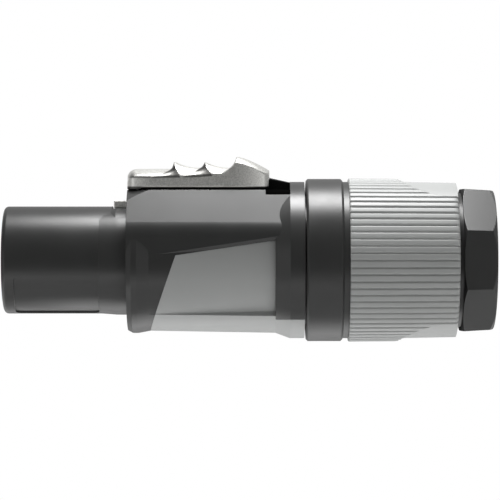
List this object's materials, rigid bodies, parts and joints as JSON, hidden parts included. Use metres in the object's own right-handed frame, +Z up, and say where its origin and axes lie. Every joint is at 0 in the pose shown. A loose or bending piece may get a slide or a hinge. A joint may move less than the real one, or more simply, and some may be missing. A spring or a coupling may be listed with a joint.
{
  "type": "locking power connector",
  "caption": "Cable-end locking power connector with a round plug nose, a sliding thumb latch, a faceted housing, a slotted cable chuck and a screw-on ribbed strain-relief bushing.",
  "frame": {"origin": "on the connector's axis at the root of the plug nose", "axes": "+X along the axis from the plug nose to the cable end, +Z up through the latch, +Y to the left side seen from behind the cable end"},
  "size_m": [0.0911, 0.0304, 0.0344],
  "materials": {
    "dark_plastic": "satin",
    "grey_plastic": "matte",
    "satin_metal": "satin",
    "black_plastic": "matte",
    "spring_wire": "bright",
    "insert_plastic": "matte",
    "contact_brass": "bright",
    "screw_steel": "bright",
    "chuck_plastic": "matte"
  },
  "bodies": {
    "housing": {"housing_shell": "dark_plastic", "colour_saddle": "grey_plastic", "latch_guide": "black_plastic", "latch_spring": "spring_wire", "contact_carrier": "insert_plastic", "earth_contact": "contact_brass", "line_contact": "contact_brass", "neutral_contact": "contact_brass", "earth_screw": "screw_steel", "line_screw": "screw_steel", "neutral_screw": "screw_steel"},
    "latch": {"latch_slider": "satin_metal"},
    "chuck": {"cable_chuck": "chuck_plastic"},
    "bushing": {"rear_bushing": "dark_plastic", "bushing_grip": "grey_plastic"}
  },
  "joints": [
    {"name": "latch_slide", "type": "slide", "parent": "housing", "child": "latch", "axis": [1, 0, 0], "range_m": [0, 0.0035], "stiffness_N_per_m": 800, "springref_m": -0.002, "deforming": ["latch_spring"]},
    {"name": "chuck_slide", "type": "slide", "parent": "housing", "child": "chuck", "axis": [1, 0, 0], "range_m": [0, 0.0061]},
    {"name": "bushing_turn", "type": "hinge", "parent": "chuck", "child": "bushing", "pos_m": [0.0536, 0, 0], "axis": [1, 0, 0], "range_deg": [0, 1080]}
  ],
  "couplings": [
    {"joint": "chuck_slide", "follows": "bushing_turn", "m_per_rad": 0.00031831}
  ]
}
